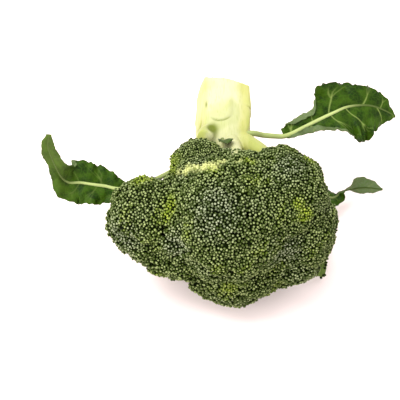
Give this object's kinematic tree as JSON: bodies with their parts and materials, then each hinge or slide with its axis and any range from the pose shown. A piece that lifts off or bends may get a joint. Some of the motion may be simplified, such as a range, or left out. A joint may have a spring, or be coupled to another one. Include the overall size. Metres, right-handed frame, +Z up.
{
  "type": "broccoli head",
  "caption": "Whole head of broccoli lying on its side: stout pale stalk, branches, bud clusters pressed into one dome, and the leaves left on the stalk.",
  "frame": {"origin": "middle of the head's underside, at the height of the surface that it lies on", "axes": "+Z up from the surface that the head lies on, +Y from the crown towards the cut end of the stalk, +X towards the larger leaf"},
  "size_m": [0.2648, 0.1824, 0.1267],
  "materials": {
    "stalk_flesh": "satin, pale yellow-green plant skin",
    "buds": "matt, waxy green flower buds",
    "leaf": "waxy dark green leaf with pale veins"
  },
  "bodies": {
    "root": {"stalk": "stalk_flesh", "branch_crown": "stalk_flesh", "branch_front": "stalk_flesh", "branch_left": "stalk_flesh", "branch_right": "stalk_flesh", "branch_upper_right": "stalk_flesh", "branch_upper_left": "stalk_flesh", "branch_upper_middle": "stalk_flesh", "branch_inner_left": "stalk_flesh", "branch_middle_left": "stalk_flesh", "branch_lower_right": "stalk_flesh", "branch_under_left": "stalk_flesh", "branch_under_right": "stalk_flesh", "floret_crown": "buds", "floret_front": "buds", "floret_left": "buds", "floret_right": "buds", "floret_upper_right": "buds", "floret_upper_left": "buds", "floret_upper_middle": "buds", "floret_inner_left": "buds", "floret_middle_left": "buds", "floret_lower_right": "buds", "floret_under_left": "buds", "floret_under_right": "buds", "leaf_right_upper": "leaf", "leaf_left": "leaf", "leaf_right_lower": "leaf", "leaf_small_right": "leaf", "leaf_bract_stalk": "leaf", "leaf_bract_left": "leaf"}
  },
  "joints": []
}
